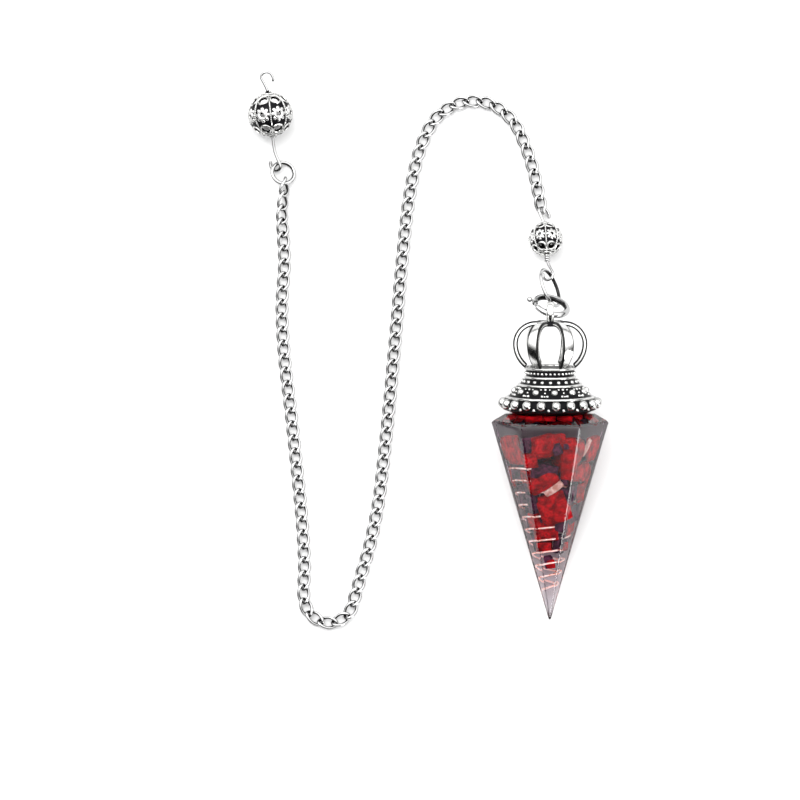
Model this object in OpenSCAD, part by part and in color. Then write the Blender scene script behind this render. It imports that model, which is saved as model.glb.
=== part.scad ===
// Dowsing pendulum pendant: a six-sided resin cone filled with red jasper chips and a copper coil,
// a cast crown cap, a spring-ring clasp, a curb chain and two pierced beads on eye pins.
// It lies on one facet of the cone. The origin is on that facet, +Y runs up the cone to the crown,
// +Z is up. All lengths are millimetres and all angles degrees.

/* [Resin cone] */
// Width across the corners of the hexagon at its shoulder
cone_w = 23.2; // [22:0.1:24.6]
// Distance from the tip to the shoulder, along the axis
cone_l = 38.9; // [38:0.1:40]
// Height of the straight girdle above the shoulder
girdle_h = 0.8; // [0.4:0.1:1.6]
// Height of the bevel between the girdle and the flat top
bevel_h = 1.6; // [1:0.1:2.4]
// How far the bevel draws each side of the hexagon in
bevel_in = 2.4; // [1.8:0.1:2.5]
// Half width of the blunted tip
tip_r = 0.15; // [0.05:0.01:0.3]
// Distance from the tip to the middle of the patch that it rests on
rest_reach = 26; // [24:0.5:28]
// Gap between the resin and what is cast into it
cast_gap = 0.1; // [0.08:0.01:0.12]

/* [Copper coil] */
// Thickness of the copper wire
coil_wire = 0.5; // [0.4:0.02:0.54]
// Distance from the tip to the lowest turn
coil_start = 6; // [5.6:0.1:7]
// Distance from the tip to the top turn
coil_end = 31.2; // [29:0.1:31.4]
// Distance between two turns
coil_pitch = 2.45; // [2.2:0.05:3]
// Radius of the coil, as a share of the distance from the axis to a side
coil_share = 0.7; // [0.68:0.01:0.71]
// Shift of the coil away from the chips in front, as the same share
coil_shift = 0.12; // [0.11:0.01:0.13]

/* [Crown cap] */
// Radius of the crown's foot, where it is glued to the resin
foot_r = 7.2; // [6.4:0.1:7.4]
// Radius of the rim, in the middle of its largest beads
rim_r = 9.5; // [9.2:0.1:9.8]
// Height from the foot to the rib under the arches
tier_h = 9; // [8.6:0.1:9.4]
// Radius of the neck under the arches
neck_r = 4.75; // [4.5:0.05:5]
// Radius of the ribs between the rows of beads
rib_r = 0.3; // [0.24:0.01:0.34]
// Wall of the hollow casting
crown_wall = 1.3; // [1:0.1:1.6]
// Number of the largest beads, round the rim
rim_beads = 20; // [16:1:22]
// Radius of the largest beads
rim_bead_r = 0.95; // [0.8:0.05:1]
// Number of arches
arches = 6; // [4:1:8]
// Radius of the cage that the arches form, at its widest
cage_r = 7.4; // [7:0.1:7.8]
// Height of the cage above the tiers
cage_h = 9.4; // [9:0.1:9.8]
// Thickness of an arch
arch_t = 1; // [0.8:0.05:1.2]
// Width of an arch at its middle
arch_w = 2.5; // [2.1:0.1:2.9]
// Width of an arch at its feet
arch_foot_w = 1.5; // [1.2:0.1:1.8]

/* [Bail] */
// Outer diameter of the loop on top of the crown
bail_d = 4.2; // [4.1:0.05:4.5]
// Diameter of its hole
bail_hole = 2.5; // [2.4:0.05:2.7]
// Thickness of the loop
bail_t = 1.5; // [1.2:0.1:1.7]

/* [Clasp] */
// Diameter of the clasp ring, in the middle of its tube
clasp_d = 6.6; // [6.3:0.1:7]
// Thickness of its tube
clasp_tube = 1.25; // [1.2:0.05:1.35]
// Bore of the tube that the gate slides in
clasp_bore = 0.85; // [0.8:0.01:0.9]
// Thickness of the gate's wire
gate_wire = 0.62; // [0.5:0.01:0.66]
// Angle of the gap that the gate closes
gate_angle = 30; // [26:1:32]
// Angle that the gate reaches into the far end of the tube
gate_grip = 5; // [3:1:6]
// Angle that the knob slides back
gate_travel = 36; // [30:1:37]
// Diameter of the knob
knob_d = 1.15; // [1:0.05:1.3]
// Slope of the clasp, down from the bail
clasp_dip = 52; // [50:1:54]
// Turn of the clasp on the table
clasp_yaw = -18; // [-20:1:-16]
// Angle round the clasp ring from its lowest place to the bail
clasp_hang = 7; // [4:1:10]

/* [Rings and pins] */
// Wire of the two jump rings
ring_wire = 0.75; // [0.7:0.01:0.8]
// Outer diameter of the jump ring at the chain
ring_d = 5.3; // [5.2:0.05:5.6]
// Outer diameter of the jump ring at the clasp
link_d = 8.4; // [8.2:0.05:8.8]
// Wire of the eye pins
pin_wire = 0.62; // [0.56:0.01:0.66]
// Radius of an eye, in the middle of its wire
eye_r = 1.2; // [1.16:0.01:1.3]
// Distance from an eye's neck to its middle
eye_reach = 2.5; // [2.3:0.1:2.7]
// Clearance where one ring holds another
play = 0.12; // [0.1:0.01:0.14]

/* [Beads] */
// Diameter of the finial bead
finial_d = 8.8; // [8.6:0.1:9.2]
// Diameter of the spacer bead
spacer_d = 6.7; // [6.5:0.1:7]
// Wall of the pierced beads
bead_wall = 0.7; // [0.6:0.05:0.9]
// Height of the collars at a bead's ends
collar_h = 0.25; // [0.2:0.05:0.4]
// Gap between a bead's collar and its pin
bore_gap = 0.12; // [0.1:0.01:0.2]
// Slope of the finial bead's pin
finial_tilt = 18.5; // [17.5:0.5:19]
// Slope of the spacer bead's pin
spacer_tilt = 21; // [20:0.5:21.5]

/* [Chain] */
// Wire of the curb chain
chain_wire = 0.5; // [0.44:0.01:0.52]
// Distance from one link to the next
chain_pitch = 2.74; // [2.7:0.01:2.78]
// Length of a link, in the middle of its wire
chain_link_l = 3.84; // [3.8:0.01:3.88]
// Width of a link, in the middle of its wire
chain_link_w = 2.2; // [2.16:0.01:2.24]
// Angle that each end of a link is twisted
chain_twist = 50; // [48:1:52]

/* [Hidden] */
$fn = 48;

silver = [0.78, 0.78, 0.76];
bright_silver = [0.88, 0.88, 0.87];
resin_tint = [0.62, 0.6, 0.68, 0.45];
jasper_red = [0.72, 0.07, 0.09];
jasper_dark = [0.3, 0.2, 0.26];
jasper_pale = [0.85, 0.66, 0.62];
copper = [0.85, 0.5, 0.38];

// Resin cone
side_r = cone_w / 2 * cos(30);
lean = atan((side_r - tip_r) / cone_l);
tip_lift = tip_r * cos(lean);
cone_top = cone_l + girdle_h + bevel_h;
slab = 2 * cone_w;

// Copper coil
coil_steps = 12;
coil_turns = (coil_end - coil_start) / coil_pitch;

// Crown
cage_mid = 0.52;
cage_base = cone_top + tier_h;
cage_top = cage_base + cage_h;
cage_foot_r = neck_r + rib_r;
cage_low = cage_mid * cage_h;
shoulder_r = cage_h - cage_low;
arch_steps = 6;
arch_inner = 1.8;
belly_x = (cage_r ^ 2 - cage_foot_r ^ 2 - cage_low ^ 2) / (2 * (cage_r - cage_foot_r));
bail_sink = 0.4;
bail_reach = cage_top + bail_d / 2 - bail_sink;

// Clasp. It hangs in the bail by its tube, close to the crown.
clasp_r = clasp_d / 2;
hang_reach = bail_reach - bail_hole / 2 + clasp_tube / 2 + 2.4 * play;
gap_from = 195;
gap_to = gap_from + gate_angle;
knob_angle = 182;
stem_d = 0.4;
stem_gap = 6;
knob_reach = clasp_r + clasp_tube / 2 + 0.95 * knob_d / 2;
spring_room = 40;

// Matrices that carry the cone's own frame, the clasp's and the beads' onto the table
function turn_x(a) = [[1, 0, 0], [0, cos(a), -sin(a)], [0, sin(a), cos(a)]];
function turn_z(a) = [[cos(a), -sin(a), 0], [sin(a), cos(a), 0], [0, 0, 1]];
function on_cone(reach) = [0, reach * cos(lean) - rest_reach, reach * sin(lean) + tip_lift];
clasp_turn = turn_z(clasp_yaw) * turn_x(-clasp_dip);
clasp_at = on_cone(hang_reach) - clasp_turn * (clasp_r * [sin(clasp_hang), -cos(clasp_hang), 0]);
clasp_far = clasp_at + clasp_turn * [0, clasp_r, 0];

// Spacer bead. It lies on the table, as far off as the jump ring between it and the clasp allows.
neck_gap = 0.3;
spacer_r = spacer_d / 2;
spacer_yaw = 3.5;
spacer_neck = 2.4;
spacer_in = spacer_r + spacer_neck + eye_reach;
spacer_out = spacer_r + neck_gap + eye_reach;
spacer_rolls = [35, -35];
spacer_axis = [-sin(spacer_yaw) * cos(spacer_tilt), cos(spacer_yaw) * cos(spacer_tilt), -sin(spacer_tilt)];
eye_z = spacer_r + spacer_in * sin(spacer_tilt);
link_hold = clasp_tube / 2 + ring_wire / 2 + play;
eye_hold = eye_r - pin_wire / 2 - ring_wire / 2 - play;
link_slack = 0.24;
link_span = link_d - ring_wire - link_hold + eye_hold - link_slack;
link_run = sqrt(link_span ^ 2 - (clasp_far.z - eye_z) ^ 2);
link_bearing = 101;
eye_at = [clasp_far.x + link_run * cos(link_bearing), clasp_far.y + link_run * sin(link_bearing), eye_z];
spacer_at = eye_at + spacer_in * spacer_axis;
spacer_eye = spacer_at + spacer_out * spacer_axis;
link_at = (clasp_far + eye_at) / 2 + [-0.24, -0.36, 0.49];
link_turn = [0, 66.5, 18];

// Finial bead, lying on the table at the chain's other end
finial_r = finial_d / 2;
finial_xy = [-55.8, 75.5];
finial_yaw = -84;
finial_neck = 3.4;
finial_in = finial_r + finial_neck + eye_reach;
finial_out = finial_r + neck_gap + collar_h + eye_reach;
finial_rolls = [34.5, 10];
finial_at = [finial_xy.x, finial_xy.y, finial_r];
finial_axis = [cos(finial_yaw) * cos(finial_tilt), sin(finial_yaw) * cos(finial_tilt), -sin(finial_tilt)];
finial_eye = finial_at + finial_in * finial_axis;

// Jump ring between the finial and the chain, almost flat on the table
ring_r = (ring_d - ring_wire) / 2;
ring_bearing = -46.5;
ring_off = 2.2;
ring_z = 1.14;
ring_tip = [-12, 13.75];
ring_at = [finial_eye.x + ring_off * cos(ring_bearing), finial_eye.y + ring_off * sin(ring_bearing), ring_z];

// Route of the chain on the table, between its first and last link. Rows hold x, y, height and roll.
ROUTE = [
    [-53.5, 56, 1.12, -34], [-53.2, 50.5, 0.84, -6], [-53, 45.5, 0.8, 0], [-53.5, 37.2, 0.8, 0],
    [-53, 27.2, 0.8, 0], [-51.7, 16.1, 0.8, 0], [-50.5, 5, 0.8, 0], [-49.4, -6.2, 0.8, 0],
    [-48.9, -15, 0.8, 0], [-49, -21.5, 0.8, 0], [-47.6, -25.2, 0.8, 0], [-43.9, -26.8, 0.8, 0],
    [-40.3, -25.2, 0.8, 0], [-38.8, -21.5, 0.8, 0], [-37.7, -17.5, 0.8, 0], [-35.9, -11.3, 0.8, 0],
    [-34.2, -2.9, 0.8, 0], [-33.2, 5.4, 0.8, 0], [-32.1, 16.1, 0.8, 0], [-30.5, 33.9, 0.8, 0],
    [-29.4, 46.7, 0.8, 0], [-28.2, 57.8, 0.8, 0], [-26.9, 65, 0.8, 0], [-25.2, 70.8, 0.8, 0],
    [-22.3, 75.8, 0.8, 0], [-17.3, 78.7, 0.8, 0], [-11.6, 78.3, 0.8, 0], [-7.3, 75, 0.8, 0],
    [-4.9, 70.4, 0.8, 0], [-3, 64.5, 0.85, 0]
];
chain_first = [ring_at.x + 0.25, ring_at.y - ring_r - 0.6, 1.42, -58];
chain_last = [spacer_eye.x - 0.6, spacer_eye.y + 1.7, 1.06, 22];
stations = concat([2 * chain_first - ROUTE[0], chain_first], ROUTE,
                  [chain_last, 2 * chain_last - ROUTE[len(ROUTE) - 1]]);
route_steps = 6;
function blend(a, b, c, d, t) =
    (2 * b + (c - a) * t + (2 * a - 5 * b + 4 * c - d) * t ^ 2 + (3 * b - a - 3 * c + d) * t ^ 3) / 2;
route = [for (i = [1:len(stations) - 3], k = [0:route_steps - 1])
             blend(stations[i - 1], stations[i], stations[i + 1], stations[i + 2], k / route_steps),
         chain_last];
function flat_of(p) = [p[0], p[1], p[2]];
function reaches(i = 0, sum = 0, out = []) =
    i == len(route) ? out
    : let (now = i == 0 ? 0 : sum + norm(flat_of(route[i] - route[i - 1])))
      reaches(i + 1, now, concat(out, [now]));
route_reach = reaches();
route_length = route_reach[len(route) - 1];
links = round(route_length / chain_pitch) + 1;
function place(reach) =
    let (i = max([for (k = [0:len(route) - 2]) if (route_reach[k] <= reach + 0.0001) k]),
         t = (reach - route_reach[i]) / (route_reach[i + 1] - route_reach[i]))
    route[i] + t * (route[i + 1] - route[i]);

// Chips. Each row holds the side that the chip lies under, its distance from the tip along that
// side, its place across it, the depth of its outer face, its size across, along and through, its
// turn and its kind. The rows suit a cone of the drawn size and scale with the real one.
drawn_w = 23.2;
drawn_l = 38.9;
wide = cone_w / drawn_w;
long = cone_l / drawn_l;
RED = 0;
DARK = 1;
PALE = 2;
CHIPS = [
    [0, 35.6, -0.1, 0.45, 5.8, 5.2, 2.4, 8, RED], [0, 34.4, -3.9, 0.6, 1.6, 4.4, 1.2, 0, DARK],
    [0, 36.6, 4.0, 0.5, 2.2, 2.4, 1.2, 0, DARK], [0, 31.7, 3.1, 0.5, 1.9, 6.0, 1.8, 0, RED],
    [0, 31.4, -1.9, 0.9, 4.2, 2.0, 1.4, -12, DARK], [0, 28.5, -1.5, 0.5, 4.8, 2.0, 1.8, 30, RED],
    [0, 27.2, 0.8, 0.45, 4.0, 1.1, 1.1, 38, PALE], [0, 22.8, 0.5, 0.45, 5.0, 5.0, 1.4, 20, RED],
    [0, 17.3, -0.8, 0.45, 3.2, 2.0, 0.9, 5, RED], [0, 14.4, -0.9, 0.4, 2.0, 1.6, 0.7, 0, RED],
    [-1, 35.3, -0.3, 0.5, 6.2, 4.8, 2.0, 6, RED],
    [1, 35.6, 1.9, 0.5, 4.2, 4.4, 1.8, 10, RED], [1, 35.6, -1.7, 0.5, 1.6, 3.8, 1.4, -18, PALE],
    [1, 30.6, 0.9, 0.5, 4.6, 3.8, 1.9, -6, RED], [1, 26, 1.4, 0.5, 3.0, 3.6, 1.6, 8, RED],
    [1, 26.4, -1.5, 0.6, 1.8, 2.8, 1.2, 0, DARK], [1, 21.8, 0.6, 0.5, 3.4, 3.2, 1.3, 15, DARK],
    [1, 18.2, 0.2, 0.45, 2.6, 2.4, 0.9, 0, DARK], [1, 15.2, 0.1, 0.4, 1.8, 1.8, 0.7, 0, RED],
    [2, 35.3, 0, 0.5, 5.6, 4.4, 2.4, 0, RED], [3, 35.3, 0, 0.5, 6.0, 4.4, 2.4, 6, RED],
    [-2, 35.3, 0, 0.5, 5.6, 4.4, 2.4, -6, RED],
    [0, 34.3, -2.3, 3.4, 4.0, 4.0, 4.2, 0, DARK], [0, 34.3, 2.3, 3.4, 4.0, 4.0, 4.2, 20, RED],
    [0, 32.9, -2.3, 8.4, 4.0, 3.6, 4.0, 10, RED], [0, 32.9, 2.3, 8.4, 4.0, 3.6, 4.0, -15, DARK],
    [0, 26.9, -2.6, 6.3, 3.0, 4.0, 3.0, 10, RED], [0, 26.9, 0.8, 6.3, 2.8, 4.0, 3.0, -8, DARK],
    [0, 22.1, -0.7, 5.0, 3.4, 3.2, 2.8, 0, RED], [0, 18.2, -0.6, 4.1, 2.6, 2.8, 2.3, 20, DARK],
    [0, 14.4, -0.5, 3.4, 1.8, 2.2, 1.6, 0, RED]
];
chip_sides = 6;
chip_bevel = 0.7;
chip_wobble = 0.1;

// A swept wire is a row of rings of points. The reference vectors keep its sections level.
function unit(v) = v / norm(v);
function tangent(path, i, closed) =
    let (n = len(path))
    closed ? unit(path[(i + 1) % n] - path[(i + n - 1) % n])
           : unit(path[min(i + 1, n - 1)] - path[max(i - 1, 0)]);
function section(centre, t, ref, r, sides) =
    let (a = unit(cross(t, ref)), b = cross(a, t))
    [for (k = [0:sides - 1]) centre + r * (a * cos(k * 360 / sides) + b * sin(k * 360 / sides))];

module wire(path, refs, d, sides, closed) {
    n = len(path);
    points = [for (i = [0:n - 1])
        each section(path[i], tangent(path, i, closed), refs[i], d / 2, sides)];
    bands = closed ? n : n - 1;
    skin = [for (i = [0:bands - 1], k = [0:sides - 1])
        let (j = (i + 1) % n, m = (k + 1) % sides)
        each [[i * sides + k, i * sides + m, j * sides + m], [i * sides + k, j * sides + m, j * sides + k]]];
    lids = closed ? []
        : [[for (k = [sides - 1:-1:0]) k], [for (k = [0:sides - 1]) (n - 1) * sides + k]];
    polyhedron(points, concat(skin, lids));
}

// Puts a piece that is drawn round the cone's own axis where the cone lies
module lying() {
    translate([0, -rest_reach, tip_lift])
        rotate([lean - 90, 0, 0])
            children();
}

// Half outline of one pair of the cone's sides, drawn with the axis upward
module cone_outline() {
    polygon([[-tip_r, 0], [tip_r, 0], [side_r, cone_l], [side_r, cone_l + girdle_h],
             [side_r - bevel_in, cone_top], [bevel_in - side_r, cone_top],
             [-side_r, cone_l + girdle_h], [-side_r, cone_l]]);
}

module hexagon_cone() {
    intersection_for (k = [0:2])
        rotate([0, 0, 60 * k])
            rotate([90, 0, 90])
                linear_extrude(height = slab, center = true)
                    cone_outline();
}

// One tumbled chip: three rings of corners round its middle
module chip(size, seed) {
    levels = [[-0.5, chip_bevel], [0, 1], [0.5, chip_bevel]];
    points = [for (level = levels, k = [0:chip_sides - 1])
        let (r = level[1] * (1 - chip_wobble + chip_wobble * sin(137 * k + 61 * seed)) / 2,
             a = (k + 0.5) * 360 / chip_sides)
        [size.x * r * cos(a), size.y * r * sin(a), size.z * level[0]]];
    skin = [for (i = [0:1], k = [0:chip_sides - 1])
        let (j = i + 1, m = (k + 1) % chip_sides, n = chip_sides)
        each [[i * n + k, j * n + k, j * n + m], [i * n + k, j * n + m, i * n + m]]];
    lids = [[for (k = [0:chip_sides - 1]) k],
            [for (k = [chip_sides - 1:-1:0]) 2 * chip_sides + k]];
    polyhedron(points, concat(skin, lids));
}

module placed_chip(i, growth) {
    row = CHIPS[i];
    thick = wide * row[6];
    rotate([0, 0, 60 * row[0]])
        rotate([90 + lean, 0, 0])
            translate([wide * row[2], long * row[1], -wide * row[3] - thick / 2])
                rotate([0, 0, row[7]])
                    chip([wide * row[4] + growth, long * row[5] + growth, thick + growth], i);
}

module chips_of(kind) {
    lying()
        for (i = [0:len(CHIPS) - 1])
            if (CHIPS[i][8] == kind)
                placed_chip(i, 0);
}

// The coil's wire, or its channel, which runs one step further at each end
module coil_sweep(d, sides, extra) {
    count = floor(coil_turns * coil_steps);
    path = [for (i = [-extra:count + extra])
        let (a = i * 360 / coil_steps + 180,
             s = long * (coil_start + coil_pitch * i / coil_steps),
             f = s * tan(lean),
             r = coil_share * f - coil_wire / 2)
        [r * cos(a) - coil_shift * f, r * sin(a) + coil_shift * f, s]];
    wire(path, [for (p = path) [0, 0, 1]], d, sides, false);
}

module resin_cone() {
    color(resin_tint)
        lying()
            difference() {
                hexagon_cone();
                for (i = [0:len(CHIPS) - 1])
                    placed_chip(i, 4 * cast_gap);
                coil_sweep(coil_wire + 4 * cast_gap, 4, 1);
            }
}

module jasper_chips() {
    color(jasper_red)
        chips_of(RED);
}

module dark_chips() {
    color(jasper_dark)
        chips_of(DARK);
}

module pale_chips() {
    color(jasper_pale)
        chips_of(PALE);
}

module copper_coil() {
    color(copper)
        lying()
            coil_sweep(coil_wire, 5, 0);
}

// Tiers of the crown: heights are shares of tier_h, radii shares of the way from neck to rim
WALL = [[0.09, 0.95], [0.2, 0.97], [0.355, 0.76], [0.63, 0.28], [0.8, 0], [1, 0]];
RIBS = [[0.355, 0.8], [0.63, 0.3], [0.8, 0.03], [1, 0.04]];

// Rows of cast beads: height and radius as above, count, size as a share of rim_bead_r, and phase
BEAD_ROWS = [
    [0.235, 1, rim_beads, 1, 0.36], [0.14, 1, rim_beads, 0.38, 0.86], [0.5, 0.51, 12, 0.74, 0.21],
    [0.43, 0.63, 12, 0.36, 0.58], [0.43, 0.63, 12, 0.36, 0.84], [0.57, 0.4, 12, 0.34, 0.71],
    [0.71, 0.15, 21, 0.44, 0], [0.9, 0.02, 36, 0.32, 0]
];
function tier_point(h, r) = [neck_r + r * (rim_r - neck_r), cone_top + h * tier_h];

module tiers() {
    floor_t = 0.8 * crown_wall;
    wall = [for (p = WALL) tier_point(p[0], p[1])];
    inner = [for (p = wall) [p.x - crown_wall, p.y - 0.3 * crown_wall]];
    rotate_extrude() {
        polygon(concat([[foot_r - crown_wall, cone_top], [foot_r, cone_top], [foot_r, wall[0].y]], wall,
                       [[0, cage_base], [0, cage_base - floor_t]],
                       [for (i = [len(inner) - 1:-1:2])
                            [inner[i].x, min(inner[i].y, cage_base - floor_t)]]));
        for (rib = RIBS)
            translate(tier_point(rib[0], rib[1]))
                circle(r = rib_r);
    }
}

module bead_rows() {
    for (row = BEAD_ROWS) {
        at = tier_point(row[0], row[1]);
        for (k = [0:row[2] - 1])
            rotate([0, 0, (k + row[4]) * 360 / row[2] - 90])
                translate([at.x, 0, at.y])
                    sphere(r = row[3] * rim_bead_r);
    }
}

// Points of an arch's outer or inner line, from its foot up to the flat top
function arch_line(inset) =
    let (belly_r = cage_r - belly_x, foot_turn = asin(cage_low / belly_r))
    concat([for (k = [0:arch_steps])
                let (a = foot_turn * (k / arch_steps - 1))
                [belly_x + (belly_r - inset) * cos(a), cage_base + cage_low + (belly_r - inset) * sin(a)]],
           [for (k = [1:arch_steps])
                let (a = 90 * k / arch_steps)
                [cage_r - shoulder_r + (shoulder_r - inset) * cos(a),
                 cage_base + cage_low + (shoulder_r - inset) * sin(a)]],
           [[arch_inner, cage_top - inset]]);

// One arch stands over the x axis: wide in the middle, narrow at its foot
module arch() {
    outer = arch_line(0);
    inner = arch_line(arch_t);
    widths = [for (k = [-arch_steps:arch_steps])
        [arch_w / 2 - (arch_w - arch_foot_w) / 2 * (k / arch_steps) ^ 2,
         cage_base + cage_low + cage_low * k / arch_steps]];
    intersection() {
        rotate([90, 0, 0])
            linear_extrude(height = 2 * arch_w, center = true)
                polygon(concat(outer, [for (i = [len(inner) - 1:-1:0]) inner[i]]));
        rotate([90, 0, 90])
            linear_extrude(height = cage_r + 1)
                polygon(concat(widths, [for (i = [len(widths) - 1:-1:0]) [-widths[i].x, widths[i].y]]));
    }
}

module cage() {
    for (k = [0:arches - 1])
        rotate([0, 0, (k + 0.5) * 360 / arches - 90])
            arch();
    translate([0, 0, cage_top - arch_t])
        cylinder(r = arch_w, h = arch_t);
}

module bail() {
    wall = (bail_d - bail_hole) / 4;
    translate([0, 0, bail_reach])
        rotate([0, 90, 0])
            rotate_extrude()
                translate([bail_hole / 2 + wall, 0])
                    intersection() {
                        square([2 * wall, bail_t], center = true);
                        circle(r = 0.52 * bail_t);
                    }
}

module crown_cap() {
    color(silver)
        lying() {
            tiers();
            cage();
            bail();
            bead_rows();
        }
}

// Puts a piece that is drawn round the clasp's own middle where the clasp hangs
module on_clasp() {
    translate(clasp_at)
        rotate([-clasp_dip, 0, clasp_yaw])
            children();
}

module bent_rod(r, d, from, to) {
    rotate([0, 0, from])
        rotate_extrude(angle = to - from)
            translate([r, 0])
                circle(r = d / 2);
}

module clasp_ring() {
    slot_from = knob_angle - gate_travel - stem_gap;
    slot_to = knob_angle + stem_gap;
    color(bright_silver)
        on_clasp()
            difference() {
                bent_rod(clasp_r, clasp_tube, gap_to, gap_from + 360);
                bent_rod(clasp_r, clasp_bore, slot_from - spring_room, gap_from + 1);
                bent_rod(clasp_r, clasp_bore, gap_to - 1, gap_to + gate_grip + 4);
                rotate([0, 0, slot_from])
                    rotate_extrude(angle = slot_to - slot_from)
                        translate([clasp_r, -stem_d])
                            square([clasp_tube, 2 * stem_d]);
            }
}

module clasp_trigger() {
    color(bright_silver)
        on_clasp() {
            bent_rod(clasp_r, gate_wire, knob_angle - 6, gap_to + gate_grip);
            rotate([0, 0, knob_angle])
                translate([clasp_r, 0, 0]) {
                    rotate([0, 90, 0])
                        cylinder(d = stem_d, h = knob_reach - clasp_r);
                    translate([knob_reach - clasp_r, 0, 0])
                        sphere(d = knob_d);
                }
        }
}

// A jump ring drawn round z
module jump_ring(d) {
    rotate_extrude()
        translate([(d - ring_wire) / 2, 0])
            circle(d = ring_wire);
}

module clasp_link() {
    color(bright_silver)
        translate(link_at)
            rotate(link_turn)
                jump_ring(link_d);
}

module finial_ring() {
    color(bright_silver)
        translate(ring_at)
            rotate([ring_tip.x, ring_tip.y, 0])
                jump_ring(ring_d);
}

// Middle of an eye's wire in its own plane, from the neck up one flank, round and almost back
function eye_path(reach) =
    let (flank = acos(eye_r / eye_reach), from = 180 - flank, to = -125, steps = 9)
    [for (k = [0:steps])
        let (a = from + (to - from) * k / steps, r = eye_r + 0.25 * max(0, k - steps + 2) / 2)
        [reach + r * cos(a), r * sin(a), 0]];

function rolled(p, a) = [p.x, p.y * cos(a) - p.z * sin(a), p.y * sin(a) + p.z * cos(a)];

// An eye pin along x: a straight shank through the bead and an eye at each end, each with its roll
module eye_pin(front_reach, back_reach, rolls) {
    front = eye_path(front_reach);
    back = [for (p = eye_path(back_reach)) [-p.x, -p.y, 0]];
    shank = [for (t = [0:0.25:1])
        let (x = eye_reach - back_reach + t * (front_reach + back_reach - 2 * eye_reach))
        [x, rolls[1] + t * (rolls[0] - rolls[1])]];
    path = concat([for (i = [len(back) - 1:-1:1]) rolled(back[i], rolls[1])],
                  [for (p = shank) [p[0], 0, 0]],
                  [for (i = [1:len(front) - 1]) rolled(front[i], rolls[0])]);
    refs = concat([for (i = [1:len(back) - 1]) rolled([0, 0, 1], rolls[1])],
                  [for (p = shank) rolled([0, 0, 1], p[1])],
                  [for (i = [1:len(front) - 1]) rolled([0, 0, 1], rolls[0])]);
    wire(path, refs, pin_wire, 8, false);
}

// Half section of a hollow bead with a collar at each end, its axis upward
module bead_section(r) {
    bore_r = pin_wire / 2 + bore_gap;
    collar_r = 0.28 * r;
    half = r + collar_h;
    difference() {
        union() {
            circle(r = r);
            translate([0, -half])
                square([collar_r, 2 * half]);
        }
        circle(r = r - bead_wall);
        translate([bore_r - r, -2 * r])
            square([r, 4 * r]);
        translate([-2 * r, -2 * r])
            square([2 * r, 4 * r]);
    }
}

// A pierced bead drawn round x, with three rows of openings
module pierced_bead(d, big, small) {
    r = d / 2;
    rotate([0, 90, 0])
        difference() {
            rotate_extrude()
                bead_section(r);
            for (k = [0:7], row = [[90, small], [133, big], [47, big]])
                rotate([0, row[0], (k + 0.5) * 45])
                    translate([0, 0, r - 1.5 * bead_wall])
                        cylinder(d = row[1], h = 2 * bead_wall);
        }
}

// Puts a bead or pin that is drawn round x on the table
module threaded(at, tilt, yaw) {
    translate(at)
        rotate([0, tilt, yaw])
            children();
}

module finial_bead() {
    color(silver)
        threaded(finial_at, finial_tilt, finial_yaw)
            pierced_bead(finial_d, 1.9, 1.1);
}

module finial_pin() {
    color(bright_silver)
        threaded(finial_at, finial_tilt, finial_yaw)
            eye_pin(finial_in, finial_out, finial_rolls);
}

module spacer_bead() {
    color(silver)
        threaded(spacer_at, spacer_tilt, 90 + spacer_yaw)
            pierced_bead(spacer_d, 1.5, 1);
}

module spacer_pin() {
    color(bright_silver)
        threaded(spacer_at, spacer_tilt, 90 + spacer_yaw)
            eye_pin(spacer_out, spacer_in, spacer_rolls);
}

// One curb link: an oval whose plane turns along its length
module chain_link() {
    steps = 12;
    half = chain_link_l / 2;
    path = [for (k = [0:steps - 1])
        let (a = k * 360 / steps, w = chain_twist * cos(a))
        [half * cos(a), chain_link_w / 2 * sin(a) * cos(w), chain_link_w / 2 * sin(a) * sin(w)]];
    refs = [for (k = [0:steps - 1])
        let (w = chain_twist * cos(k * 360 / steps))
        [0, -sin(w), cos(w)]];
    wire(path, refs, chain_wire, 5, true);
}

module chain() {
    spacing = route_length / (links - 1);
    color(bright_silver)
        for (i = [0:links - 1]) {
            at = place(min(i * spacing, route_length - 0.001));
            ahead = flat_of(place(min((i + 0.5) * spacing, route_length - 0.001))
                            - place(max((i - 0.5) * spacing, 0)));
            translate(flat_of(at))
                rotate([0, 0, atan2(ahead.y, ahead.x)])
                    rotate([at[3], -atan2(ahead.z, norm([ahead.x, ahead.y])), 0])
                        chain_link();
        }
}

finial_pin();
finial_bead();
finial_ring();
chain();
spacer_pin();
spacer_bead();
clasp_link();
clasp_ring();
clasp_trigger();
crown_cap();
resin_cone();
jasper_chips();
dark_chips();
pale_chips();
copper_coil();
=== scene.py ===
"""Dowsing pendulum pendant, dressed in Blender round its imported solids.

It lies on one facet of its resin cone. +Y runs up the cone to the crown, +Z is up. Sizes are in
millimetres and are scaled to metres when a piece is finished.
"""

from math import asin, atan, cos, hypot, pi, radians, sin, sqrt, tan
from random import Random

import bmesh
import bpy
from mathutils import Matrix, Vector


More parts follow.
